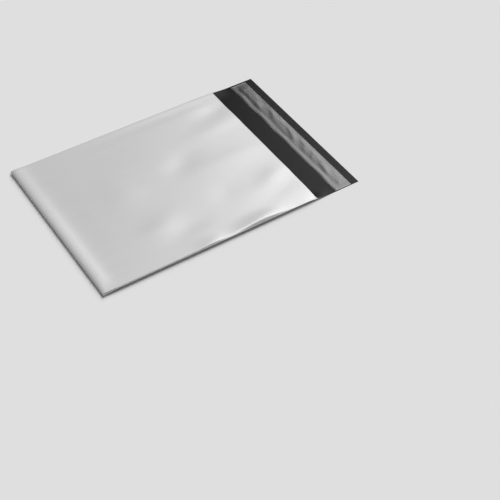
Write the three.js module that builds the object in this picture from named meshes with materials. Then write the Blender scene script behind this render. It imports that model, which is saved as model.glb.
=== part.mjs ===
// A courier mailer of plastic film, lying on its back with the flap open and the release liner still on.
// One web of film is folded across the bottom and welded up both sides.
// The back panel runs on past the mouth as the flap.
// Millimetres, +Z up. X runs across the bag and Y from the bottom fold to the end of the flap.
// The origin is on the surface that the bag lies on, under the middle of its whole length.

import * as THREE from 'three';

// Film web
const bagWidth = 254;
const pouchLength = 306;
const flapLength = 64.5;
const filmThickness = 0.08;
const weldWidth = 0.8;

// How the empty bag lies: its welds and its fold stand clear of the surface, and the flap settles flat
const leftWeldLift = 2.8;
const rightWeldLift = 4.5;
const weldLiftRun = 18;
const foldLift = 3;
const foldLiftRun = 26;
const foldUnderRun = 6;
const settleLead = 20;
const flapSettleRun = 26;

// The front panel stands over the higher weld, with a full nose at the fold and a shoulder at each weld
const panelRise = 0.9;
const sideShoulderRun = 4;
const foldShoulderRun = 6.4;
const foldFullness = 2.6;
const crownRise = 0.6;
const lipSetback = 1.8;
const lipSetbackRun = 45;

// The panel comes down nearly flush with the right weld between its bulges
const rightFallShare = 0.9;
const rightFallWidth = 17;

// A low rim stands along the bottom fold, where the film is stiffest
const foldRimHeight = 1.1;
const foldRimPlace = 6;
const foldRimWidth = 10;

// Adhesive stripe on the inner face of the flap
const adhesiveWidth = 14;
const adhesiveThickness = 0.04;
const adhesiveEndInset = 7;
const adhesiveFlapMargin = 13;

// Release liner over the adhesive: its lip on the bag's side is loose and wavy
const linerThickness = 0.05;
const linerLooseWidth = 8;
const linerOuterOverlap = 2;
const linerLeftInset = 3;
const linerRightInset = 1.5;
const linerLift = 0.35;
const linerLiftPitch = 46;
const linerBillowShare = 0.5;
const linerEdgeWave = 0.5;
const linerEdgeWavePitch = 62;

// Colour and finish of each piece
const whiteFilm = { color: 0xc8c8c8, roughness: 0.32, metalness: 0 };
const hotMelt = { color: 0x6e6e6c, roughness: 0.35, metalness: 0 };
const clearFilm = { color: 0x8a8a8a, roughness: 0.2, metalness: 0 };

// Spacing of the facets, and the short step over which a slope is taken
const shoulderSteps = 5;
const panelPitch = 11.5;
const flapPitch = 8;
const linerPitch = 6;
const linerLooseSteps = 4;
const slopeStep = 0.01;

// Soft ridges (up) and hollows (down) in the front panel.
// across is a share of half the width from the middle, along a share of the pouch from the fold.
// halfLength and halfWidth are in millimetres, and lean turns the feature from the bag's length, in degrees.
const undulations = [
  // Folds that run back from the mouth
  { across: -0.46, along: 0.88, halfLength: 40, halfWidth: 14, lean: 3, height: 0.65 },
  { across: 0.03, along: 0.84, halfLength: 46, halfWidth: 15, lean: -2, height: 0.60 },
  { across: 0.50, along: 0.92, halfLength: 27, halfWidth: 13, lean: 13, height: 0.95 },
  { across: -0.70, along: 0.94, halfLength: 26, halfWidth: 13, lean: 0, height: -0.95 },
  { across: 0.28, along: 0.86, halfLength: 40, halfWidth: 12, lean: 8, height: -0.15 },
  { across: 0.72, along: 0.88, halfLength: 32, halfWidth: 12, lean: 10, height: -0.45 },
  { across: 1.00, along: 1.00, halfLength: 9, halfWidth: 10, lean: 0, height: -0.80 },

  // Dents and swells in the middle of the panel and along the fold
  { across: -0.14, along: 0.63, halfLength: 26, halfWidth: 17, lean: 24, height: -0.85 },
  { across: 0.49, along: 0.38, halfLength: 27, halfWidth: 15, lean: 6, height: 0.90 },
  { across: 0.71, along: 0.44, halfLength: 30, halfWidth: 13, lean: 6, height: -0.70 },
  { across: 0.47, along: 0.69, halfLength: 20, halfWidth: 16, lean: 20, height: -0.40 },
  { across: -0.07, along: 0.32, halfLength: 28, halfWidth: 30, lean: 0, height: 0.78 },
  { across: 0.05, along: 0.09, halfLength: 80, halfWidth: 18, lean: 90, height: -0.45 },

  // Bulges on the right weld, and a welt along the left one
  { across: 0.97, along: 0.73, halfLength: 32, halfWidth: 12, lean: 0, height: 2.80 },
  { across: 0.97, along: 0.50, halfLength: 18, halfWidth: 9, lean: 0, height: 1.10 },
  { across: -0.965, along: 0.60, halfLength: 110, halfWidth: 5, lean: 0, height: 0.30 },
  { across: -0.88, along: 0.62, halfLength: 100, halfWidth: 6, lean: 0, height: -0.25 },
];

// Places that follow from the sizes
const halfWidth = bagWidth / 2;
const foldY = -(pouchLength + flapLength) / 2;
const mouthY = foldY + pouchLength;
const flapEndY = mouthY + flapLength;
const seamX = halfWidth - weldWidth;
const seamY = foldY + filmThickness;
const adhesiveOuterY = flapEndY - adhesiveFlapMargin;
const adhesiveInnerY = adhesiveOuterY - adhesiveWidth;
const panelZ = Math.max(leftWeldLift, rightWeldLift, foldLift) + panelRise;
const flapTopZ = filmThickness;
const linerZ = flapTopZ + adhesiveThickness;

// Collects points and triangles, and joins rows of points into one closed skin.
// A strip faces the way that its row crossed with the step to the next row points.
class Skin {
  constructor() {
    this.coordinates = [];
    this.triangles = [];
  }

  point(v) {
    this.coordinates.push(v.x, v.y, v.z);
    return this.coordinates.length / 3 - 1;
  }

  strip(row, next) {
    for (let i = 0; i + 1 < row.length; i++) {
      this.triangles.push(row[i], row[i + 1], next[i + 1]);
      this.triangles.push(row[i], next[i + 1], next[i]);
    }
  }

  sheet(rows) {
    for (let j = 0; j + 1 < rows.length; j++) {
      this.strip(rows[j], rows[j + 1]);
    }
  }

  geometry() {
    const geometry = new THREE.BufferGeometry();
    geometry.setAttribute('position', new THREE.Float32BufferAttribute(this.coordinates, 3));
    geometry.setIndex(this.triangles);
    geometry.computeVertexNormals();
    return geometry;
  }
}

const reversed = (row) => [...row].reverse();
const column = (rows, i) => rows.map((row) => row.at(i));
const smooth = (share) => THREE.MathUtils.smoothstep(share, 0, 1);
const bell = (distance, reach) => Math.exp(-((distance / reach) ** 2));

// A quarter round: 0 at its foot, 1 once it has run its course. A fuller one is squarer.
function quarterRound(distance, run, fullness = 2) {
  const share = THREE.MathUtils.clamp(distance / run, 0, 1);
  return (1 - (1 - share) ** fullness) ** (1 / fullness);
}

// Distances that step evenly round a quarter round, from its foot to its top
function quarterRoundSteps(run) {
  const steps = [];
  for (let k = 0; k <= shoulderSteps; k++) {
    steps.push(run * (1 - Math.cos((Math.PI / 2) * (k / shoulderSteps))));
  }
  return steps;
}

// Evenly spaced places from start to end, no further apart than the pitch
function evenSteps(start, end, pitch) {
  const count = Math.max(1, Math.ceil((end - start) / pitch));
  return Array.from({ length: count + 1 }, (_, k) => THREE.MathUtils.lerp(start, end, k / count));
}

// How far the edges stand clear of the surface: less at the left, and coming down to nothing on the flap
function edgeHeight(x, y) {
  const weld = THREE.MathUtils.lerp(leftWeldLift, rightWeldLift, (x / halfWidth + 1) / 2);
  const lift = THREE.MathUtils.lerp(foldLift, weld, smooth((y - foldY) / foldLiftRun));
  const settled = smooth((y - mouthY + settleLead) / (settleLead + flapSettleRun));
  return lift * (1 - settled);
}

// Height of the back panel's underside: flat in the middle, lifted along the fold and the welds
function backHeight(x, y) {
  const side = smooth((halfWidth - Math.abs(x)) / weldLiftRun);
  const fold = quarterRound(y - foldY, foldUnderRun);
  return edgeHeight(x, y) * (1 - side * fold);
}

// One soft ridge or hollow, highest along its own line and fading all round
function undulation(x, y, feature) {
  const lean = THREE.MathUtils.degToRad(feature.lean);
  const dx = x - feature.across * halfWidth;
  const dy = y - (foldY + feature.along * pouchLength);
  const along = dy * Math.cos(lean) - dx * Math.sin(lean);
  const across = dx * Math.cos(lean) + dy * Math.sin(lean);
  return feature.height * bell(along, feature.halfLength) * bell(across, feature.halfWidth);
}

// Outer face of the front panel
function frontHeight(x, y) {
  const edge = edgeHeight(x, y);
  const side = quarterRound(seamX - Math.abs(x), sideShoulderRun);
  const nose = quarterRound(y - seamY, foldShoulderRun, foldFullness);
  const level = panelZ - edge - panelRise * rightFallShare * bell(halfWidth - x, rightFallWidth);
  const crown = crownRise * (1 - (x / halfWidth) ** 2) * Math.sin(Math.PI * ((y - foldY) / pouchLength)) ** 2;
  const rim = foldRimHeight * bell(y - foldY - foldRimPlace, foldRimWidth);
  const soft = undulations.reduce((sum, feature) => sum + undulation(x, y, feature), 0);
  return edge + 2 * filmThickness + side * nose * (level + crown + rim + soft);
}

// Unit vector square to a height field, pointing up
function squareTo(height, x, y) {
  const slopeX = (height(x + slopeStep, y) - height(x - slopeStep, y)) / (2 * slopeStep);
  const slopeY = (height(x, y + slopeStep) - height(x, y - slopeStep)) / (2 * slopeStep);
  return new THREE.Vector3(-slopeX, -slopeY, 1).normalize();
}

// The puff draws the middle of the front panel's lip back from the mouth
function drawnBack(x, y) {
  const near = smooth((y - (mouthY - lipSetbackRun)) / lipSetbackRun);
  return y - lipSetback * near * quarterRound(seamX - Math.abs(x), sideShoulderRun);
}

function frontOuter(x, y) {
  return new THREE.Vector3(x, drawnBack(x, y), frontHeight(x, y));
}

function frontInner(x, y) {
  return frontOuter(x, y).addScaledVector(squareTo(frontHeight, x, y), -filmThickness);
}

function backOuter(x, y) {
  return new THREE.Vector3(x, y, backHeight(x, y));
}

function backInner(x, y) {
  return backOuter(x, y).addScaledVector(squareTo(backHeight, x, y), filmThickness);
}

// The line between the two layers, round the fold and the welds
function betweenLayers(x, y) {
  return new THREE.Vector3(x, y, backHeight(x, y) + filmThickness);
}

// Front panel, bottom fold, back panel, flap and side welds as one closed film
function mailerFilm() {
  const flatXs = evenSteps(0, seamX - sideShoulderRun, panelPitch);
  const sideRise = reversed(quarterRoundSteps(sideShoulderRun)).map((d) => seamX - d);
  const right = [...flatXs, ...sideRise.slice(1)];
  const inside = [...reversed(right).slice(0, -1).map((x) => -x), ...right];
  const xs = [-halfWidth, ...inside, halfWidth];
  const foldRise = quarterRoundSteps(foldShoulderRun).map((d) => seamY + d);
  const pouchYs = [foldY, ...foldRise, ...evenSteps(foldRise.at(-1), mouthY, panelPitch).slice(1)];
  const flapYs = [...evenSteps(mouthY, mouthY + flapSettleRun, flapPitch), flapEndY];
  const skin = new Skin();
  const rows = (across, along, at) => along.map((y) => across.map((x) => skin.point(at(x, y))));

  const outerFront = rows(xs, pouchYs, frontOuter);
  const outerBack = rows(xs, [...pouchYs, ...flapYs.slice(1)], backOuter);
  const flap = rows(xs, flapYs, backInner);

  // The two inner faces meet along the welds and the fold, and the lower one runs out onto the flap
  const cavityYs = pouchYs.slice(1);
  const crease = rows(inside, cavityYs.slice(0, 1), betweenLayers);
  const lower = [...crease, ...rows(inside, cavityYs.slice(1, -1), backInner), flap[0].slice(1, -1)];
  const upper = lower.map((row, j) => row.map((shared, i) => {
    const onSeam = j === 0 || i === 0 || i === row.length - 1;
    return onSeam ? shared : skin.point(frontInner(inside[i], cavityYs[j]));
  }));

  // Between the two layers, round the outside of the fold and the welds
  const layerFold = rows(xs, [foldY], betweenLayers)[0];
  const layerSide = (x, i) => {
    const weld = rows([x], pouchYs.slice(1, -1), betweenLayers).flat();
    return [layerFold.at(i), ...weld, flap[0].at(i)];
  };

  skin.sheet(outerFront);
  skin.sheet(outerBack.map(reversed));
  skin.sheet(lower);
  skin.sheet(upper.map(reversed));
  skin.sheet(flap);

  // Fold, lip and end of the flap
  skin.strip(outerBack[0], layerFold);
  skin.strip(layerFold, outerFront[0]);
  const lipFoot = [flap[0][0], ...upper.at(-1), flap[0].at(-1)];
  skin.strip(reversed(lipFoot), reversed(outerFront.at(-1)));
  skin.strip(reversed(outerBack.at(-1)), reversed(flap.at(-1)));

  // Cut edges of the welds and of the flap
  for (const [x, i, facing] of [[-halfWidth, 0, reversed], [halfWidth, -1, (row) => row]]) {
    const layer = layerSide(x, i);
    const edge = [...layer, ...column(flap, i).slice(1)];
    skin.strip(facing(column(outerBack, i)), facing(edge));
    skin.strip(facing(layer), facing(column(outerFront, i)));
  }
  return skin.geometry();
}

// Closes a sheet of even thickness from the rows of its lower face
function plate(across, along, lowerFace, thickness) {
  const skin = new Skin();
  const lower = along.map((y) => across.map((x) => skin.point(lowerFace(x, y))));
  const upper = along.map((y) => across.map((x) => {
    const point = lowerFace(x, y);
    return skin.point(point.setZ(point.z + thickness));
  }));
  skin.sheet(upper);
  skin.sheet(lower.map(reversed));
  skin.strip(lower[0], upper[0]);
  skin.strip(reversed(lower.at(-1)), reversed(upper.at(-1)));
  skin.strip(reversed(column(lower, 0)), reversed(column(upper, 0)));
  skin.strip(column(lower, -1), column(upper, -1));
  return skin.geometry();
}

function adhesiveStrip() {
  const reach = halfWidth - adhesiveEndInset;
  const lowerFace = (x, y) => new THREE.Vector3(x, y, flapTopZ);
  return plate([-reach, reach], [adhesiveInnerY, adhesiveOuterY], lowerFace, adhesiveThickness);
}

function releaseLiner() {
  const across = evenSteps(-halfWidth + linerLeftInset, halfWidth - linerRightInset, linerPitch);
  const lipY = adhesiveInnerY - linerLooseWidth;
  const loose = evenSteps(lipY, adhesiveInnerY, linerLooseWidth / linerLooseSteps);
  const along = [...loose, adhesiveOuterY + linerOuterOverlap];
  const lowerFace = (x, y) => {
    const free = Math.max(0, (adhesiveInnerY - y) / linerLooseWidth);
    const dip = (1 - Math.cos((2 * Math.PI * x) / linerLiftPitch)) / 2;
    const lift = linerLift * (1 - linerBillowShare * dip) * free ** 2;
    const wave = linerEdgeWave * Math.sin((2 * Math.PI * x) / linerEdgeWavePitch);
    return new THREE.Vector3(x, y + wave * free, linerZ + lift);
  };
  return plate(across, along, lowerFace, linerThickness);
}

function piece(name, geometry, material) {
  const mesh = new THREE.Mesh(geometry, new THREE.MeshStandardMaterial(material));
  mesh.name = name;
  return mesh;
}

const mailer = new THREE.Group();
mailer.add(piece('mailer_film', mailerFilm(), whiteFilm));
mailer.add(piece('adhesive_strip', adhesiveStrip(), hotMelt));
mailer.add(piece('release_liner', releaseLiner(), clearFilm));

export default mailer;
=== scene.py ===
"""A courier mailer of plastic film, lying on its back with the flap open.

The web of film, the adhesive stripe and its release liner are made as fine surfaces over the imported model,
each by its own operator, and a stage operator adds the floor, the light and the camera.
"""

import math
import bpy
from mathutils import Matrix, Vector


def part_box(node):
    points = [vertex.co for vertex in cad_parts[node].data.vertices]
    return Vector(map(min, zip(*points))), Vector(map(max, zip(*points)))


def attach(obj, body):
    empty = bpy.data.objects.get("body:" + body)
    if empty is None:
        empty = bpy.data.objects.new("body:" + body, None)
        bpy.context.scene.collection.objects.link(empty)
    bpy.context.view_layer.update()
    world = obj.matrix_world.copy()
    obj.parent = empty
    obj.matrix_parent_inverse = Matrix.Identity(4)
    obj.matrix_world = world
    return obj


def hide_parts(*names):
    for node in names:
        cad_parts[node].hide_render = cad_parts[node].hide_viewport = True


bl_info = {
    "name": "Film mailer bag",
    "version": (1, 0, 0),
    "blender": (4, 5, 0),
    "location": "View3D > Sidebar > Mailer",
    "description": "Builds the film, adhesive and release liner of an open courier mailer",
    "category": "Object",
}

from typing import NamedTuple

import bpy
import numpy as np
from bpy.props import FloatProperty, FloatVectorProperty, IntProperty, PointerProperty
from mathutils import Matrix, Vector

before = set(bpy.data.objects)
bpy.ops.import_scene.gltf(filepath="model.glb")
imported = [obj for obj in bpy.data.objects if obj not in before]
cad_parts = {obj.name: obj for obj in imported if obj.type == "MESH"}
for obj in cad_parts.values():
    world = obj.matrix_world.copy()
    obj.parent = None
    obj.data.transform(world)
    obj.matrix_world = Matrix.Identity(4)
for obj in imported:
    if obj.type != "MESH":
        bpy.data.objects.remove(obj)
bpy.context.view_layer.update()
FILM_LOW, FILM_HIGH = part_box("mailer_film")
ADHESIVE_LOW, ADHESIVE_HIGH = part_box("adhesive_strip")
LINER_LOW, LINER_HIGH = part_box("release_liner")
BODY = "root"
MM = 0.001

# Meshes
SHARP_EDGE = math.radians(50)
SLOPE_STEP = 0.01 * MM
MERGE_DISTANCE = 0.001 * MM
WHITE_SIDE, DARK_SIDE = 0, 1

# The colour sockets of a mix node share their names with its other kinds, so they go by number
MIX_FIRST, MIX_SECOND, MIX_RESULT = 6, 7, 2

# Looks of the film: stretched noise for its draw lines, and how much they smooth or roughen it
DRAW_LINES = (420.0, 9.0, 9.0)
DRAW_LINE_DEPTH = 0.003 * MM
DRAW_LINE_SMOOTHS, DRAW_LINE_ROUGHENS = 0.03, 0.04
HAZE_SCALE = 900.0
HAZE_DEPTH = 0.004 * MM
CLOUD_SCALE = 14.0

# Looks of the release liner
CRINKLES = (60.0, 200.0, 60.0)
CRINKLE_DEPTH = 0.006 * MM
STREAKS = (30.0, 240.0, 30.0)
STREAK_DEEP, STREAK_PALE = 0.75, 1.25
# Painted reflection: share by which the liner is painted lighter towards the bag's right edge
LINER_REFLECTION_PAINT = 0.85
LINER_ROUGHNESS = (0.24, 0.3)
LINER_GLOSS = 0.44

# Looks of the adhesive
SMEARS = (40.0, 120.0, 40.0)
SMEAR_DEPTH = 0.03 * MM
SMEAR_DEEP, SMEAR_PALE = 0.7, 1.25
ADHESIVE_ROUGHNESS = (0.28, 0.4)
ADHESIVE_IOR = 1.48
ADHESIVE_ROWS = 7

# How the release liner lies: ranges of distance from its lip, back edge and ends, and shares
BILLOW_SHARE = 0.35
LIP_TURN = 2.8 * MM
LIP_TURN_SHARE = 0.75
HELD_FROM_LIP = (5.0 * MM, 13.0 * MM)
HELD_FROM_BACK = (0.0, 7.0 * MM)
HELD_FROM_END = (2.0 * MM, 16.0 * MM)
GROOVE_START = (2.6 * MM, 3.6 * MM)
GROOVE_END = (5.0 * MM, 3.8 * MM)
GROOVE_SHARE = 0.4
HEIGHT_SHARE = 0.7
RIPPLE_SHARE = 0.55
PATCH_RANGE = (0.22, 0.78)
CUT_EDGE_WIDTH = 1.6 * MM
CUT_LIP_SHARE = 0.4
# Width of the painted highlight along the liner's cut ends
GLINT_PAINT_WIDTH = 1.4 * MM
LINER_SEED = 3.0

# Stage
FLOOR_REACH = 30.0
SENSOR_WIDTH = 36.0


class Patches(NamedTuple):
    """Soft random patches on the liner: length in pucker pitches, width in metres, and layer of the noise."""

    pitches: float
    width: float
    layer: float


# The groove's patches are far wider than the strip, so they change along it alone
HEIGHT_PATCHES = Patches(0.9, 30.0 * MM, 0.0)
RIPPLE_PATCHES = Patches(1.0, 11.0 * MM, 5.0)
GROOVE_PATCHES = Patches(0.5, 1.0, 9.0)


class EdgeWave(NamedTuple):
    """A wave along the adhesive's edge: depth in metres, rate in radians per metre, and its start."""

    depth: float
    rate: float
    start: float


INNER_WAVES = (EdgeWave(0.5 * MM, 173.0, 0.0), EdgeWave(0.5 * MM, 402.0, 1.3))
OUTER_WAVES = (EdgeWave(0.2 * MM, 611.0, 0.4),)


class Undulation(NamedTuple):
    """A soft ridge (up) or hollow (down) in the front panel.

    across is a share of half the width and along a share of the pouch from the fold. The half sizes and the
    height are in millimetres, and lean turns the feature from the bag's length, in degrees.
    """

    across: float
    along: float
    half_length: float
    half_width: float
    lean: float
    height: float


UNDULATIONS = (
    Undulation(-0.46, 0.88, 40, 14, 3, 0.65),
    Undulation(0.03, 0.84, 46, 15, -2, 0.60),
    Undulation(0.50, 0.92, 27, 13, 13, 0.95),
    Undulation(-0.70, 0.94, 26, 13, 0, -0.95),
    Undulation(0.28, 0.86, 40, 12, 8, -0.15),
    Undulation(0.72, 0.88, 32, 12, 10, -0.45),
    Undulation(-0.14, 0.63, 26, 17, 24, -0.85),
    Undulation(0.49, 0.38, 27, 15, 6, 0.90),
    Undulation(0.71, 0.44, 30, 13, 6, -0.70),
    Undulation(0.47, 0.69, 20, 16, 20, -0.40),
    Undulation(-0.07, 0.32, 28, 30, 0, 0.78),
    Undulation(0.05, 0.09, 80, 18, 90, -0.45),
    Undulation(0.97, 0.73, 32, 12, 0, 2.80),
    Undulation(0.97, 0.50, 18, 9, 0, 1.10),
    Undulation(1.00, 1.00, 9, 10, 0, -0.80),
    Undulation(-0.965, 0.60, 110, 5, 0, 0.30),
    Undulation(-0.88, 0.62, 100, 6, 0, -0.25),
)


def length(name, description, default):
    """A size in metres."""
    return FloatProperty(name=name, description=description, default=default, unit="LENGTH", precision=5)


def number(name, description, default, lowest=0.0):
    """A plain number that doesn't go below the lowest."""
    return FloatProperty(name=name, description=description, default=default, min=lowest)


def portion(name, description, default, highest=1.0):
    """A share, from 0 to the highest."""
    return FloatProperty(name=name, description=description, default=default, min=0.0, max=highest)


def whole(name, description, default, lowest):
    """A whole number that doesn't go below the lowest."""
    return IntProperty(name=name, description=description, default=default, min=lowest)


def colour(name, description, default):
    """A colour in linear light."""
    return FloatVectorProperty(
        name=name, description=description, default=default, size=3, subtype="COLOR", min=0.0, max=1.0
    )


def angle(name, description, default):
    """An angle, with its default in degrees."""
    return FloatProperty(name=name, description=description, default=math.radians(default), subtype="ANGLE")


class FilmSettings(bpy.types.PropertyGroup):
    """Sizes and colours of the film web."""

    pouch: length("Pouch length", "From the bottom fold to the mouth", 306 * MM)
    thickness: length("Film thickness", "Thickness of one layer of film", 0.08 * MM)
    weld: length("Weld width", "Width of each side weld", 0.8 * MM)
    left_lift: length("Left lift", "Height of the left weld above the floor", 2.8 * MM)
    right_lift: length("Right lift", "Height of the right weld above the floor", 4.5 * MM)
    fold_lift: length("Fold lift", "Height of the fold above the floor", 3.0 * MM)
    fold_lift_run: length("Fold lift run", "How far from the fold the welds reach their full height", 26 * MM)
    edge_lift_run: length("Edge lift run", "How far in from the welds the back panel lies flat", 18 * MM)
    under_run: length("Fold under run", "How far in from the fold the back panel lies flat", 6 * MM)
    settle_lead: length("Settle lead", "How far before the mouth the edges start to come down", 20 * MM)
    flap_settle: length("Flap settle run", "How far past the mouth the flap lies flat", 26 * MM)
    panel_rise: length("Panel rise", "Height of the front panel above the higher weld", 0.9 * MM)
    right_fall: portion("Right fall", "Share of that height lost at the right weld", 0.9)
    right_fall_width: length("Right fall width", "How far in from the right weld that fall reaches", 17 * MM)
    right_fall_start: length("Right fall start", "How far from the fold that fall starts", 125 * MM)
    right_fall_lead: length("Right fall lead", "Stretch over which that fall comes in", 60 * MM)
    right_tightness: portion("Right tightness", "How much shorter the shoulder is before it", 0.85, 0.95)
    side_run: length("Side shoulder run", "How far in from a weld the front panel is up", 4 * MM)
    fold_run: length("Fold shoulder run", "How far in from the fold the front panel is up", 6.4 * MM)
    fold_fullness: number("Fold fullness", "Squareness of the fold's nose", 2.6, 2.0)
    crown: length("Crown rise", "Extra height in the middle of the pouch", 0.6 * MM)
    lip_setback: length("Lip setback", "How far the puff draws the lip back", 1.8 * MM)
    lip_setback_run: length("Lip setback run", "Stretch of film that is drawn back", 45 * MM)
    rim: length("Fold rim height", "Height of the low rim along the fold", 1.1 * MM)
    rim_place: length("Fold rim place", "Distance of that rim from the fold", 6 * MM)
    rim_width: length("Fold rim width", "Half width of that rim", 10 * MM)
    rim_fall_width: length("Rim fall width", "How far in from the right weld the rim dies out", 15 * MM)
    pitch: length("Facet pitch", "Spacing of the mesh over the panels", 2.6 * MM)
    shoulder_steps: whole("Shoulder steps", "Facets round a shoulder", 14, 4)
    outer_colour: colour("Outer colour", "White outer layer", (0.553, 0.553, 0.553))
    inner_colour: colour("Inner colour", "Dark inner layer", (0.014, 0.014, 0.0143))


class LinerSettings(bpy.types.PropertyGroup):
    """Sizes and colours of the adhesive stripe and its release liner."""

    thickness: length("Liner thickness", "Thickness of the liner", 0.05 * MM)
    loose: length("Loose lip", "Width of the lip that the adhesive doesn't hold", 8 * MM)
    lift: length("Lip lift", "How far the loose lip stands up", 0.28 * MM)
    lift_pitch: length("Lift pitch", "Spacing of the waves along the lip", 46 * MM)
    edge_wave: length("Edge wave", "How far the lip's edge wanders", 0.5 * MM)
    edge_wave_pitch: length("Edge wave pitch", "Spacing of that wander", 62 * MM)
    pucker: length("Pucker", "How far the held part of the liner stands off the stripe", 0.6 * MM)
    pucker_pitch: length("Pucker pitch", "Spacing of the puckers along the liner", 22 * MM)
    columns: whole("Columns", "Points along the liner", 250, 8)
    rows: whole("Rows", "Points across the liner", 50, 4)
    colour: colour("Liner colour", "Haze of the liner", (0.058, 0.058, 0.058))
    edge_colour: colour("Liner edge colour", "Dark long edges of the liner", (0.03, 0.03, 0.03))
    # Colour of the painted highlight at the liner's cut ends
    painted_glint_colour: colour("Liner end colour", "Light cut ends of the liner", (0.35, 0.35, 0.35))
    adhesive_colour: colour("Adhesive colour", "Colour of the hot-melt stripe", (0.07, 0.07, 0.068))


class StageSettings(bpy.types.PropertyGroup):
    """Floor, light and camera."""

    floor_colour: colour("Floor colour", "Plain pale floor", (0.768, 0.768, 0.768))
    ambient: number("Ambient", "Strength of the even light all round", 0.21)
    top: number("Top light", "Strength of the soft light overhead", 1.75)
    top_spread: angle("Top spread", "Width of the soft light overhead", 35)
    top_azimuth: angle("Top azimuth", "Direction of the soft light overhead", 110)
    top_elevation: angle("Top elevation", "Height of the soft light overhead", 66)
    side: number("Side light", "Strength of the soft light past the flap", 1.23)
    side_spread: angle("Side spread", "Width of the soft light past the flap", 30.4)
    side_azimuth: angle("Side azimuth", "Direction of the soft light past the flap", 127.5)
    side_elevation: angle("Side elevation", "Height of the soft light past the flap", 37.8)
    focal_length: number("Focal length", "Lens, in millimetres", 82.48, 1.0)
    camera_aim: FloatVectorProperty(
        name="Camera aim",
        description="Point on the floor at the middle of the picture",
        default=(0.15447, 0.00044, 0.0),
        size=3,
        subtype="TRANSLATION",
    )
    camera_distance: length("Camera distance", "From the camera to that point", 1.388)
    camera_azimuth: angle("Camera azimuth", "Turn of the camera round the bag", -33.7)
    camera_elevation: angle("Camera elevation", "Height of the camera above the floor", 46.03)
    camera_roll: angle("Camera roll", "Turn of the camera about its line of sight", 0.8)


def smooth(share):
    """0 to 1 with level ends."""
    share = np.clip(share, 0.0, 1.0)
    return share * share * (3.0 - 2.0 * share)


def bell(distance, width):
    """1 at no distance, dying out over the width to both sides."""
    return np.exp(-((distance / width) ** 2))


def quarter_round(distance, run, fullness=2.0):
    """0 at the foot of a quarter round, 1 once it has run its course. A fuller one is squarer."""
    share = np.clip(distance / run, 0.0, 1.0)
    return (1.0 - (1.0 - share) ** fullness) ** (1.0 / fullness)


def quarter_round_steps(run, steps):
    """Distances that step evenly round a quarter round, from its foot to its top."""
    return run * (1.0 - np.cos(np.linspace(0.0, np.pi / 2, steps + 1)))


def even_steps(start, end, pitch):
    """Evenly spaced places from start to end, no further apart than the pitch."""
    return np.linspace(start, end, max(1, math.ceil((end - start) / pitch)) + 1)


def square_to(height, x, y):
    """Unit vectors square to a surface, on its upper side."""
    step = SLOPE_STEP
    slope_x = (height(x + step, y) - height(x - step, y)) / (2 * step)
    slope_y = (height(x, y + step) - height(x, y - step)) / (2 * step)
    square = np.stack([-slope_x, -slope_y, np.ones_like(x)], axis=-1)
    return square / np.linalg.norm(square, axis=-1, keepdims=True)


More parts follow.
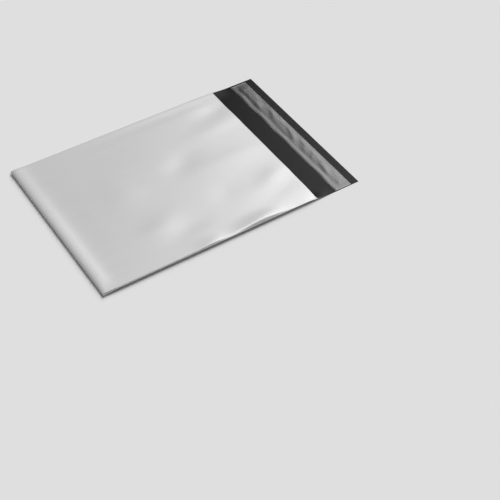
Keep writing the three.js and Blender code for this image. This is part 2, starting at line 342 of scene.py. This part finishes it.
class FilmForm:
    """Where the film lies: heights of its panels, in the bag's own frame."""

    def __init__(self, settings):
        self.s = settings
        self.half_width = FILM_HIGH[0]
        self.fold_y = FILM_LOW[1]
        self.flap_end_y = FILM_HIGH[1]
        self.mouth_y = self.fold_y + settings.pouch
        self.seam_x = self.half_width - settings.weld
        self.seam_y = self.fold_y + settings.thickness
        self.panel_z = max(settings.left_lift, settings.right_lift, settings.fold_lift) + settings.panel_rise

    def back_height(self, x, y):
        """Underside of the back panel: flat in the middle, lifted along the fold and the welds."""
        side = smooth((self.half_width - np.abs(x)) / self.s.edge_lift_run)
        fold = quarter_round(y - self.fold_y, self.s.under_run)
        return self.edge_height(x, y) * (1.0 - side * fold)

    def edge_height(self, x, y):
        """How far the edges stand clear of the floor: less at the left, and down to nothing on the flap."""
        s = self.s
        weld = s.left_lift + (s.right_lift - s.left_lift) * (x / self.half_width + 1.0) / 2.0
        lift = s.fold_lift + (weld - s.fold_lift) * smooth((y - self.fold_y) / s.fold_lift_run)
        settled = smooth((y - self.mouth_y + s.settle_lead) / (s.settle_lead + s.flap_settle))
        return lift * (1.0 - settled)

    def undulation(self, x, y, feature):
        """One soft ridge or hollow, highest along its own line and fading all round."""
        lean = math.radians(feature.lean)
        dx = x - feature.across * self.half_width
        dy = y - (self.fold_y + feature.along * self.s.pouch)
        along = (dy * math.cos(lean) - dx * math.sin(lean)) / (feature.half_length * MM)
        across = (dx * math.cos(lean) + dy * math.sin(lean)) / (feature.half_width * MM)
        return feature.height * MM * np.exp(-(along**2 + across**2))

    def front_height(self, x, y):
        """Outer face of the front panel. Near the fold its right shoulder is tighter and it doesn't fall."""
        s = self.s
        from_fold = y - self.fold_y
        from_right = self.half_width - x
        near_fold = 1.0 - smooth((from_fold - s.right_fall_start) / s.right_fall_lead)
        run = s.side_run * np.where(x > 0.0, 1.0 - s.right_tightness * near_fold, 1.0)
        shoulder = quarter_round(self.seam_x - np.abs(x), run)
        shoulder = shoulder * quarter_round(y - self.seam_y, s.fold_run, s.fold_fullness)
        crown = s.crown * (1.0 - (x / self.half_width) ** 2) * np.sin(np.pi * (from_fold / s.pouch)) ** 2
        rim = s.rim * bell(from_fold - s.rim_place, s.rim_width) * (1.0 - bell(from_right, s.rim_fall_width))
        soft = sum(self.undulation(x, y, feature) for feature in UNDULATIONS)
        fall = s.right_fall * (1.0 - near_fold) * bell(from_right, s.right_fall_width)
        edge = self.edge_height(x, y)
        level = self.panel_z - edge - s.panel_rise * fall
        return edge + 2.0 * s.thickness + shoulder * (level + crown + rim + soft)

    def front_outer(self, x, y):
        """Points on the outer face of the front panel, whose lip the puff draws back."""
        near = smooth((y - (self.mouth_y - self.s.lip_setback_run)) / self.s.lip_setback_run)
        drawn = y - self.s.lip_setback * near * quarter_round(self.seam_x - np.abs(x), self.s.side_run)
        return np.stack([x, drawn, self.front_height(x, y)], axis=-1)

    def front_inner(self, x, y):
        """Points on the inner face of the front panel, one film thickness in."""
        return self.front_outer(x, y) - self.s.thickness * square_to(self.front_height, x, y)

    def back_outer(self, x, y):
        """Points on the outer face of the back panel and the flap."""
        return np.stack([x, y, self.back_height(x, y)], axis=-1)

    def back_inner(self, x, y):
        """Points on the inner face of the back panel and the flap."""
        return self.back_outer(x, y) + self.s.thickness * square_to(self.back_height, x, y)

    def between(self, x, y):
        """Points on the line between the two layers, round the fold and the welds."""
        return np.stack([x, y, self.back_height(x, y) + self.s.thickness], axis=-1)


def shade_smooth(mesh):
    """Smooth shading but for the sharp edges."""
    mesh.polygons.foreach_set("use_smooth", np.ones(len(mesh.polygons), dtype=bool))
    mesh.set_sharp_from_angle(angle=SHARP_EDGE)


class Skin:
    """Collects rows of points and joins them into one closed mesh with a material for each face."""

    def __init__(self):
        self.points = []
        self.faces = []
        self.materials = []
        self.count = 0

    def rows(self, across, along, at):
        """Adds a grid of points and gives back their numbers, one row for each place along."""
        x, y = np.meshgrid(across, along)
        made = at(x, y).reshape(-1, 3)
        numbers = self.count + np.arange(len(made)).reshape(x.shape)
        self.points.append(made)
        self.count += len(made)
        return numbers

    def sheet(self, rows, material=0):
        """Faces between neighbouring rows. They face along the row crossed with the step to the next row."""
        corners = [rows[:-1, :-1], rows[:-1, 1:], rows[1:, 1:], rows[1:, :-1]]
        quads = np.stack(corners, axis=-1).reshape(-1, 4)
        self.faces.append(quads)
        self.materials.append(np.full(len(quads), material))

    def strip(self, row, following, material=0):
        """Faces between two rows."""
        self.sheet(np.stack([row, following]), material)

    def mesh(self, name):
        """The finished mesh."""
        mesh = bpy.data.meshes.new(name)
        mesh.from_pydata(np.concatenate(self.points).tolist(), [], np.concatenate(self.faces).tolist())
        mesh.polygons.foreach_set("material_index", np.concatenate(self.materials))
        shade_smooth(mesh)
        mesh.validate()
        return mesh


def plug(tree, socket, source):
    """Links a socket to another one, or sets it to a constant."""
    if isinstance(source, bpy.types.NodeSocket):
        tree.links.new(source, socket)
    else:
        socket.default_value = source


class Nodes:
    """Short hand for building a material's node tree."""

    def __init__(self, name):
        self.material = bpy.data.materials.new(name)
        self.material.use_nodes = True
        self.tree = self.material.node_tree
        self.shader = self.tree.nodes["Principled BSDF"]
        self.place = self.add("ShaderNodeTexCoord").outputs["Object"]

    def add(self, kind, **values):
        """A new node with these settings."""
        node = self.tree.nodes.new(kind)
        for key, value in values.items():
            setattr(node, key, value)
        return node

    def attribute(self, name):
        """A value stored on the mesh."""
        return self.add("ShaderNodeAttribute", attribute_name=name).outputs["Fac"]

    def link(self, source, target):
        """Joins two sockets."""
        self.tree.links.new(source, target)

    def stretched(self, scale):
        """Object coordinates, stretched so that a pattern runs along one axis."""
        mapping = self.add("ShaderNodeMapping")
        mapping.inputs["Scale"].default_value = scale
        self.link(self.place, mapping.inputs["Vector"])
        return mapping.outputs["Vector"]

    def noise(self, vector, scale=1.0, detail=2.0, roughness=0.5):
        """Even noise from 0 to 1."""
        node = self.add("ShaderNodeTexNoise")
        node.inputs["Scale"].default_value = scale
        node.inputs["Detail"].default_value = detail
        node.inputs["Roughness"].default_value = roughness
        self.link(vector, node.inputs["Vector"])
        return node.outputs["Fac"]

    def spread(self, value, low, high, start=0.3, end=0.7):
        """Maps a pattern's usual range onto low to high."""
        node = self.add("ShaderNodeMapRange")
        node.inputs["From Min"].default_value = start
        node.inputs["From Max"].default_value = end
        node.inputs["To Min"].default_value = low
        node.inputs["To Max"].default_value = high
        self.link(value, node.inputs["Value"])
        return node.outputs["Result"]

    def tint(self, fac, first, second):
        """Mixes two colours, each a pattern or a constant."""
        node = self.add("ShaderNodeMix", data_type="RGBA")
        for place, value in ((MIX_FIRST, first), (MIX_SECOND, second)):
            constant = not isinstance(value, bpy.types.NodeSocket)
            plug(self.tree, node.inputs[place], (*value, 1.0) if constant else value)
        self.link(fac, node.inputs["Factor"])
        return node.outputs[MIX_RESULT]

    def tone(self, rgb, painted_reflection):
        """A colour painted lighter from the left edge of the bag to the right one, as a painted reflection.
        """
        across = self.add("ShaderNodeSeparateXYZ")
        self.link(self.place, across.inputs["Vector"])
        fac = self.spread(across.outputs["X"], 0.0, 1.0, FILM_LOW[0], FILM_HIGH[0])
        return self.tint(fac, shade(rgb, 1.0 - painted_reflection), shade(rgb, 1.0 + painted_reflection))

    def bump(self, height, distance, normal=None):
        """Fine relief, its height in metres."""
        node = self.add("ShaderNodeBump")
        node.inputs["Strength"].default_value = 1.0
        node.inputs["Distance"].default_value = distance
        self.link(height, node.inputs["Height"])
        if normal is not None:
            self.link(normal, node.inputs["Normal"])
        return node.outputs["Normal"]

    def set(self, socket, value):
        """Links a pattern to the shader's socket, or sets it to a constant."""
        plug(self.tree, self.shader.inputs[socket], value)


def shade(rgb, factor):
    """A colour made lighter or darker."""
    return tuple(channel * factor for channel in rgb)


def film_material(name, rgb, roughness, gloss, mottle, lines, painted_reflection):
    """Blown polyethylene film: faint draw lines along the web, a fine haze, slight mottling, and a painted
    reflection that lightens it from the left edge to the right by the given share.
    """
    n = Nodes(name)
    draw_lines = n.noise(n.stretched(DRAW_LINES), detail=3.0)
    haze = n.noise(n.place, HAZE_SCALE, detail=1.0)
    cloud = n.noise(n.place, CLOUD_SCALE, detail=3.0)
    # Both copies carry the painted reflection, lighter towards the right edge
    pale = n.tone(shade(rgb, 1.0 + mottle), painted_reflection)
    deep = n.tone(shade(rgb, 1.0 - mottle), painted_reflection)
    n.set("Base Color", n.tint(cloud, deep, pale))
    smoothest = roughness - DRAW_LINE_SMOOTHS * lines
    roughest = roughness + DRAW_LINE_ROUGHENS * lines
    n.set("Roughness", n.spread(draw_lines, smoothest, roughest))
    fine = n.bump(haze, HAZE_DEPTH)
    n.set("Normal", n.bump(draw_lines, DRAW_LINE_DEPTH * lines, normal=fine))
    n.set("Specular IOR Level", gloss)
    return n.material


def liner_material(rgb, edge_rgb, glint_rgb):
    """Thin siliconised film: a glossy grey haze with a painted reflection that lightens it towards the right,
    dark along its edges, and a painted highlight at its cut ends.
    """
    n = Nodes("clear_liner")
    crinkle = n.noise(n.stretched(CRINKLES), detail=1.0)
    streak = n.noise(n.stretched(STREAKS), detail=2.0)
    # Painted reflection: the haze is painted lighter towards the bag's right edge
    deep = n.tone(shade(rgb, STREAK_DEEP), LINER_REFLECTION_PAINT)
    pale = n.tone(shade(rgb, STREAK_PALE), LINER_REFLECTION_PAINT)
    edged = n.tint(n.attribute("cut_edge"), n.tint(streak, deep, pale), edge_rgb)
    # Painted highlight along the cut ends
    n.set("Base Color", n.tint(n.attribute("cut_end"), edged, glint_rgb))
    n.set("Roughness", n.spread(crinkle, *LINER_ROUGHNESS))
    n.set("Normal", n.bump(crinkle, CRINKLE_DEPTH))
    n.set("Specular IOR Level", LINER_GLOSS)
    return n.material


def adhesive_material(rgb):
    """Hot-melt adhesive: a milky coat of uneven thickness."""
    n = Nodes("hot_melt")
    smear = n.noise(n.stretched(SMEARS), detail=4.0, roughness=0.6)
    n.set("Base Color", n.tint(n.spread(smear, 0.0, 1.0), shade(rgb, SMEAR_DEEP), shade(rgb, SMEAR_PALE)))
    n.set("Roughness", n.spread(smear, *ADHESIVE_ROUGHNESS))
    n.set("Normal", n.bump(smear, SMEAR_DEPTH))
    n.set("IOR", ADHESIVE_IOR)
    return n.material


def floor_material(rgb):
    """Plain pale floor."""
    n = Nodes("pale_floor")
    n.set("Base Color", (*rgb, 1.0))
    n.set("Roughness", 1.0)
    n.set("Specular IOR Level", 0.0)
    return n.material


def add_object(name, data):
    """Links a new object into the scene, at the origin."""
    made = bpy.data.objects.new(name, data)
    bpy.context.scene.collection.objects.link(made)
    return made


class MAILER_OT_film(bpy.types.Operator):
    """Fold and weld the web of film into a pouch with a flap"""

    bl_idname = "mailer.film"
    bl_label = "Film web"

    def execute(self, context):
        s = context.scene.mailer_film
        form = FilmForm(s)
        flat = even_steps(0.0, form.seam_x - s.side_run, s.pitch)
        rise = form.seam_x - quarter_round_steps(s.side_run, s.shoulder_steps)[::-1]
        right = np.concatenate([flat, rise[1:]])
        inside = np.concatenate([-right[:0:-1], right])
        xs = np.concatenate([[-form.half_width], inside, [form.half_width]])
        fold_rise = form.seam_y + quarter_round_steps(s.fold_run, s.shoulder_steps)
        panel = even_steps(fold_rise[-1], form.mouth_y, s.pitch)
        pouch_ys = np.concatenate([[form.fold_y], fold_rise, panel[1:]])
        settle = even_steps(form.mouth_y, form.mouth_y + s.flap_settle, s.pitch)
        flap_ys = np.concatenate([settle, even_steps(settle[-1], form.flap_end_y, s.pitch)[1:]])

        skin = Skin()
        outer_front = skin.rows(xs, pouch_ys, form.front_outer)
        outer_back = skin.rows(xs, np.concatenate([pouch_ys, flap_ys[1:]]), form.back_outer)
        flap = skin.rows(xs, flap_ys, form.back_inner)

        # The two inner faces meet along the welds and the fold, and the lower one runs out onto the flap
        lower = np.concatenate(
            [
                skin.rows(inside, pouch_ys[1:2], form.between),
                skin.rows(inside, pouch_ys[2:-1], form.back_inner),
                flap[:1, 1:-1],
            ]
        )
        upper = lower.copy()
        upper[1:, 1:-1] = skin.rows(inside[1:-1], pouch_ys[2:], form.front_inner)

        # The line between the two layers, round the outside of the fold and the welds
        layer_fold = skin.rows(xs, [form.fold_y], form.between)[0]
        layer_sides = skin.rows([-form.half_width, form.half_width], pouch_ys[1:-1], form.between)

        skin.sheet(outer_front, WHITE_SIDE)
        skin.sheet(outer_back[:, ::-1], WHITE_SIDE)
        skin.sheet(lower, DARK_SIDE)
        skin.sheet(upper[:, ::-1], DARK_SIDE)
        skin.sheet(flap, DARK_SIDE)
        skin.strip(outer_back[0], layer_fold, WHITE_SIDE)
        skin.strip(layer_fold, outer_front[0], WHITE_SIDE)
        lip_foot = np.concatenate([flap[0, :1], upper[-1], flap[0, -1:]])
        skin.strip(lip_foot[::-1], outer_front[-1, ::-1], WHITE_SIDE)
        skin.strip(outer_back[-1, ::-1], flap[-1, ::-1], DARK_SIDE)
        for side, order in ((0, -1), (-1, 1)):
            layer = np.concatenate([layer_fold[[side]], layer_sides[:, side], flap[:1, side]])
            edge = np.concatenate([layer, flap[1:, side]])
            skin.strip(outer_back[::order, side], edge[::order], WHITE_SIDE)
            skin.strip(layer[::order], outer_front[::order, side], WHITE_SIDE)

        film = add_object("film_web", skin.mesh("film_web"))
        white = film_material(
            "white_film", s.outer_colour, roughness=0.32, gloss=1.0, mottle=0.012, lines=1.0, painted_reflection=0.0
        )
        # The dark film is painted lighter towards the right, a painted reflection
        dark = film_material(
            "dark_film", s.inner_colour, roughness=0.26, gloss=0.035, mottle=0.08, lines=0.4, painted_reflection=0.4
        )
        film.data.materials.append(white)
        film.data.materials.append(dark)
        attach(film, BODY)
        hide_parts("mailer_film")
        return {"FINISHED"}


def drawn_in(places, waves):
    """How far the waves draw an edge in from its line, never out past it."""
    return sum(wave.depth * (1.0 - np.sin(places * wave.rate + wave.start)) for wave in waves)


class MAILER_OT_adhesive(bpy.types.Operator):
    """Lay the hot-melt stripe on the flap"""

    bl_idname = "mailer.adhesive"
    bl_label = "Adhesive stripe"

    def execute(self, context):
        s = context.scene.mailer_liner
        skin = Skin()
        low, high = ADHESIVE_LOW, ADHESIVE_HIGH
        columns = np.linspace(low[0], high[0], s.columns + 1)
        rows = np.linspace(0.0, 1.0, ADHESIVE_ROWS)

        def at(height):
            """Places the stripe's points at a height, each by its share of the way across."""

            def place(x, share):
                start = low[1] + drawn_in(x, INNER_WAVES)
                end = high[1] - drawn_in(x, OUTER_WAVES)
                return np.stack([x, start + (end - start) * share, np.full_like(x, height)], axis=-1)

            return place

        lower = skin.rows(columns, rows, at(low[2]))
        upper = skin.rows(columns, rows, at(high[2]))
        skin.sheet(upper)
        skin.sheet(lower[:, ::-1])
        skin.strip(lower[0], upper[0])
        skin.strip(lower[-1, ::-1], upper[-1, ::-1])
        skin.strip(lower[::-1, 0], upper[::-1, 0])
        skin.strip(lower[:, -1], upper[:, -1])
        stripe = add_object("adhesive_stripe", skin.mesh("adhesive_stripe"))
        stripe.data.materials.append(adhesive_material(s.adhesive_colour))
        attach(stripe, BODY)
        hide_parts("adhesive_strip")
        return {"FINISHED"}


def liner_nodes(material):
    """A strip of film from a grid: a lifted lip on the bag's side and a puckered part that is held."""
    tree = bpy.data.node_groups.new("Release liner strip", "GeometryNodeTree")
    tree.is_modifier = True
    face = tree.interface
    names = ("Length", "Width", "Loose Lip", "Lift", "Lift Pitch", "Edge Wave", "Edge Wave Pitch")
    for name in (*names, "Pucker", "Pucker Pitch", "Thickness"):
        face.new_socket(name, in_out="INPUT", socket_type="NodeSocketFloat").subtype = "DISTANCE"
    face.new_socket("Place", in_out="INPUT", socket_type="NodeSocketVector")
    face.new_socket("Columns", in_out="INPUT", socket_type="NodeSocketInt")
    face.new_socket("Rows", in_out="INPUT", socket_type="NodeSocketInt")
    face.new_socket("Seed", in_out="INPUT", socket_type="NodeSocketFloat")
    face.new_socket("Geometry", in_out="OUTPUT", socket_type="NodeSocketGeometry")
    inputs = tree.nodes.new("NodeGroupInput").outputs

    def node(kind, *sources, **values):
        """A new node with these inputs, in their order, and these settings."""
        made = tree.nodes.new(kind)
        for key, value in values.items():
            setattr(made, key, value)
        for socket, source in zip(made.inputs, sources):
            if source is not None:
                plug(tree, socket, source)
        return made

    def feed(made, values):
        """Links or sets a node's inputs by their names and gives back its first output."""
        for name, value in values.items():
            plug(tree, made.inputs[name], value)
        return made.outputs[0]

    def calc(operation, first, second=None, third=None, **more):
        """A sum on fields."""
        return node("ShaderNodeMath", first, second, third, operation=operation, **more).outputs[0]

    def times(first, *others):
        """The product of fields."""
        for other in others:
            first = calc("MULTIPLY", first, other)
        return first

    def swing(pattern, share):
        """A pattern scaled to this share and raised so that its highest value stays 1."""
        return calc("MULTIPLY_ADD", pattern, share, 1.0 - share)

    def eased(value, start, end):
        """0 to 1 with level ends, between two values."""
        made = node("ShaderNodeMapRange", interpolation_type="SMOOTHSTEP")
        return feed(made, {"Value": value, "From Min": start, "From Max": end})

    sizes = [inputs[name] for name in ("Length", "Width", "Columns", "Rows")]
    grid = node("GeometryNodeMeshGrid", *sizes).outputs["Mesh"]
    place = node("ShaderNodeSeparateXYZ", node("GeometryNodeInputPosition").outputs[0]).outputs
    x = calc("ADD", place["X"], node("ShaderNodeSeparateXYZ", inputs["Place"]).outputs["X"])
    half_width = times(inputs["Width"], 0.5)
    from_lip = calc("ADD", half_width, place["Y"])
    from_back = calc("SUBTRACT", half_width, place["Y"])
    from_end = calc("SUBTRACT", times(inputs["Length"], 0.5), calc("ABSOLUTE", place["X"]))
    free = calc("SUBTRACT", 1.0, calc("DIVIDE", from_lip, inputs["Loose Lip"]), use_clamp=True)

    def wave(pitch, operation):
        """A sine or cosine along the strip."""
        return calc(operation, times(calc("DIVIDE", x, pitch), 2.0 * math.pi))

    def patches(kind):
        """Soft random patches, 0 to 1, on a slant across the strip."""
        along = calc("DIVIDE", calc("ADD", from_lip, x), times(inputs["Pucker Pitch"], kind.pitches))
        across = calc("DIVIDE", from_lip, kind.width)
        layer = calc("ADD", inputs["Seed"], kind.layer)
        spot = node("ShaderNodeCombineXYZ", along, across, layer).outputs[0]
        noise = feed(node("ShaderNodeTexNoise"), {"Vector": spot, "Scale": 1.0, "Detail": 0.0})
        return eased(noise, *PATCH_RANGE)

    def stored(geometry, name, value):
        """Keeps a field on the mesh, for the material to read."""
        values = {"Geometry": geometry, "Name": name, "Value": value}
        return feed(node("GeometryNodeStoreNamedAttribute"), values)

    # The loose lip billows along its length, and its very edge turns back down
    billow = swing(wave(inputs["Lift Pitch"], "COSINE"), BILLOW_SHARE)
    turned = calc("MULTIPLY_ADD", eased(from_lip, LIP_TURN, 0.0), -LIP_TURN_SHARE, 1.0)
    lift = times(billow, eased(free, 0.0, 1.0), inputs["Lift"], turned)

    # The held part puckers, with a groove along its back edge, and lies flat at its ends
    held = times(eased(from_lip, *HELD_FROM_LIP), eased(from_back, *HELD_FROM_BACK))
    height = swing(patches(HEIGHT_PATCHES), HEIGHT_SHARE)
    ripple = swing(patches(RIPPLE_PATCHES), RIPPLE_SHARE)
    groove = times(eased(from_back, *GROOVE_START), eased(from_back, *GROOVE_END))
    groove = times(groove, patches(GROOVE_PATCHES), GROOVE_SHARE)
    pucker = times(held, height, calc("SUBTRACT", ripple, groove), eased(from_end, *HELD_FROM_END))

    rise = calc("MULTIPLY_ADD", pucker, inputs["Pucker"], lift)
    wander = times(wave(inputs["Edge Wave Pitch"], "SINE"), free, inputs["Edge Wave"])
    shift = node("ShaderNodeCombineXYZ", None, wander, rise).outputs[0]
    moved = node("ShaderNodeVectorMath", shift, inputs["Place"], operation="ADD").outputs[0]

    border = calc("MINIMUM", times(from_lip, CUT_LIP_SHARE), from_back)
    marked = stored(grid, "cut_edge", eased(border, CUT_EDGE_WIDTH, 0.0))
    # Mask for the painted highlight along the cut ends
    marked = stored(marked, "cut_end", eased(from_end, GLINT_PAINT_WIDTH, 0.0))
    lower = node("GeometryNodeSetPosition", marked, None, None, moved).outputs[0]
    upward = node("ShaderNodeCombineXYZ", None, None, inputs["Thickness"]).outputs[0]
    thickened = {"Mesh": lower, "Offset": upward, "Offset Scale": 1.0, "Individual": False}
    upper = feed(node("GeometryNodeExtrudeMesh"), thickened)
    under = node("GeometryNodeFlipFaces", lower).outputs[0]
    join = node("GeometryNodeJoinGeometry", upper)
    tree.links.new(under, join.inputs[0])
    joined = join.outputs[0]
    merged = feed(node("GeometryNodeMergeByDistance"), {"Geometry": joined, "Distance": MERGE_DISTANCE})
    realized = node("GeometryNodeRealizeInstances", merged).outputs[0]
    coated = feed(node("GeometryNodeSetMaterial"), {"Geometry": realized, "Material": material})
    tree.links.new(coated, tree.nodes.new("NodeGroupOutput").inputs[0])
    return tree


def apply_nodes(made, tree, values):
    """Runs a node tree on an object with the given inputs and keeps the result as a plain mesh."""
    modifier = made.modifiers.new(tree.name, "NODES")
    modifier.node_group = tree
    for item in tree.interface.items_tree:
        if item.in_out == "INPUT" and item.name in values:
            modifier[item.identifier] = values[item.name]
    made.update_tag()
    graph = bpy.context.evaluated_depsgraph_get()
    mesh = bpy.data.meshes.new_from_object(made.evaluated_get(graph), depsgraph=graph)
    made.modifiers.remove(modifier)
    made.data = mesh
    return mesh


class MAILER_OT_liner(bpy.types.Operator):
    """Lay the release liner over the adhesive, with its loose lip towards the mouth"""

    bl_idname = "mailer.liner"
    bl_label = "Release liner"

    def execute(self, context):
        s = context.scene.mailer_liner
        liner = add_object("release_strip", bpy.data.meshes.new("release_strip_start"))
        low, high = Vector(LINER_LOW), Vector(LINER_HIGH)
        inner_edge = ADHESIVE_LOW[1] - s.loose
        width = high.y - inner_edge
        mesh = apply_nodes(
            liner,
            liner_nodes(liner_material(s.colour, s.edge_colour, s.painted_glint_colour)),
            {
                "Length": high.x - low.x,
                "Width": width,
                "Loose Lip": s.loose,
                "Lift": s.lift,
                "Lift Pitch": s.lift_pitch,
                "Edge Wave": s.edge_wave,
                "Edge Wave Pitch": s.edge_wave_pitch,
                "Pucker": s.pucker,
                "Pucker Pitch": s.pucker_pitch,
                "Thickness": s.thickness,
                "Seed": LINER_SEED,
                "Place": ((low.x + high.x) / 2, high.y - width / 2, low.z),
                "Columns": s.columns,
                "Rows": s.rows,
            },
        )
        if not mesh.polygons:
            raise RuntimeError("the liner's node tree made no faces")
        mesh.name = "release_strip"
        shade_smooth(mesh)
        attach(liner, BODY)
        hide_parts("release_liner")
        return {"FINISHED"}


def direction(azimuth, elevation):
    """Unit vector, with the azimuth turning from +X towards +Y."""
    flat = math.cos(elevation)
    return Vector((flat * math.cos(azimuth), flat * math.sin(azimuth), math.sin(elevation)))


def soft_light(name, energy, spread, towards):
    """An even light over the whole floor, as wide in the sky as its spread."""
    lamp = bpy.data.lights.new(name, "SUN")
    lamp.energy = energy
    lamp.angle = spread
    add_object(name, lamp).rotation_euler = towards.to_track_quat("Z", "Y").to_euler()


class MAILER_OT_stage(bpy.types.Operator):
    """Set the floor, the soft light and the camera"""

    bl_idname = "mailer.stage"
    bl_label = "Stage"

    def execute(self, context):
        s = context.scene.mailer_stage
        mesh = bpy.data.meshes.new("floor")
        quarters = ((-1, -1), (1, -1), (1, 1), (-1, 1))
        corners = [(FLOOR_REACH * x, FLOOR_REACH * y, 0.0) for x, y in quarters]
        mesh.from_pydata(corners, [], [(0, 1, 2, 3)])
        mesh.materials.append(floor_material(s.floor_colour))
        floor = add_object("floor", mesh)

        world = bpy.data.worlds.new("even_light")
        world.use_nodes = True
        background = world.node_tree.nodes["Background"]
        background.inputs["Color"].default_value = (1.0, 1.0, 1.0, 1.0)
        background.inputs["Strength"].default_value = s.ambient
        context.scene.world = world

        soft_light("top_light", s.top, s.top_spread, direction(s.top_azimuth, s.top_elevation))
        soft_light("side_light", s.side, s.side_spread, direction(s.side_azimuth, s.side_elevation))

        lens = bpy.data.cameras.new("camera")
        lens.lens = s.focal_length
        lens.sensor_width = SENSOR_WIDTH
        camera = add_object("camera", lens)
        back = direction(s.camera_azimuth, s.camera_elevation)
        eye = Vector(s.camera_aim) + s.camera_distance * back
        turned = back.to_track_quat("Z", "Y").to_matrix().to_4x4() @ Matrix.Rotation(s.camera_roll, 4, "Z")
        camera.matrix_world = Matrix.Translation(eye) @ turned
        context.scene.camera = camera
        context.scene.view_settings.view_transform = "Standard"
        return {"FINISHED"}


class MAILER_PT_sidebar(bpy.types.Panel):
    """Sizes and colours of the mailer"""

    bl_label = "Film mailer"
    bl_idname = "MAILER_PT_sidebar"
    bl_space_type = "VIEW_3D"
    bl_region_type = "UI"
    bl_category = "Mailer"

    def draw(self, context):
        for operator in OPERATORS:
            self.layout.operator(operator.bl_idname)
        for group in SETTINGS:
            box = self.layout.box()
            settings = getattr(context.scene, group)
            for name in settings.__annotations__:
                box.prop(settings, name)


SETTINGS = {"mailer_film": FilmSettings, "mailer_liner": LinerSettings, "mailer_stage": StageSettings}
OPERATORS = (MAILER_OT_film, MAILER_OT_adhesive, MAILER_OT_liner, MAILER_OT_stage)


def register():
    for name, group in SETTINGS.items():
        bpy.utils.register_class(group)
        setattr(bpy.types.Scene, name, PointerProperty(type=group))
    for operator in OPERATORS:
        bpy.utils.register_class(operator)
    bpy.utils.register_class(MAILER_PT_sidebar)


def unregister():
    bpy.utils.unregister_class(MAILER_PT_sidebar)
    for operator in reversed(OPERATORS):
        bpy.utils.unregister_class(operator)
    for name, group in SETTINGS.items():
        delattr(bpy.types.Scene, name)
        bpy.utils.unregister_class(group)


def main():
    register()
    bpy.ops.mailer.film()
    bpy.ops.mailer.adhesive()
    bpy.ops.mailer.liner()
    bpy.ops.mailer.stage()


if __name__ == "__main__":
    main()
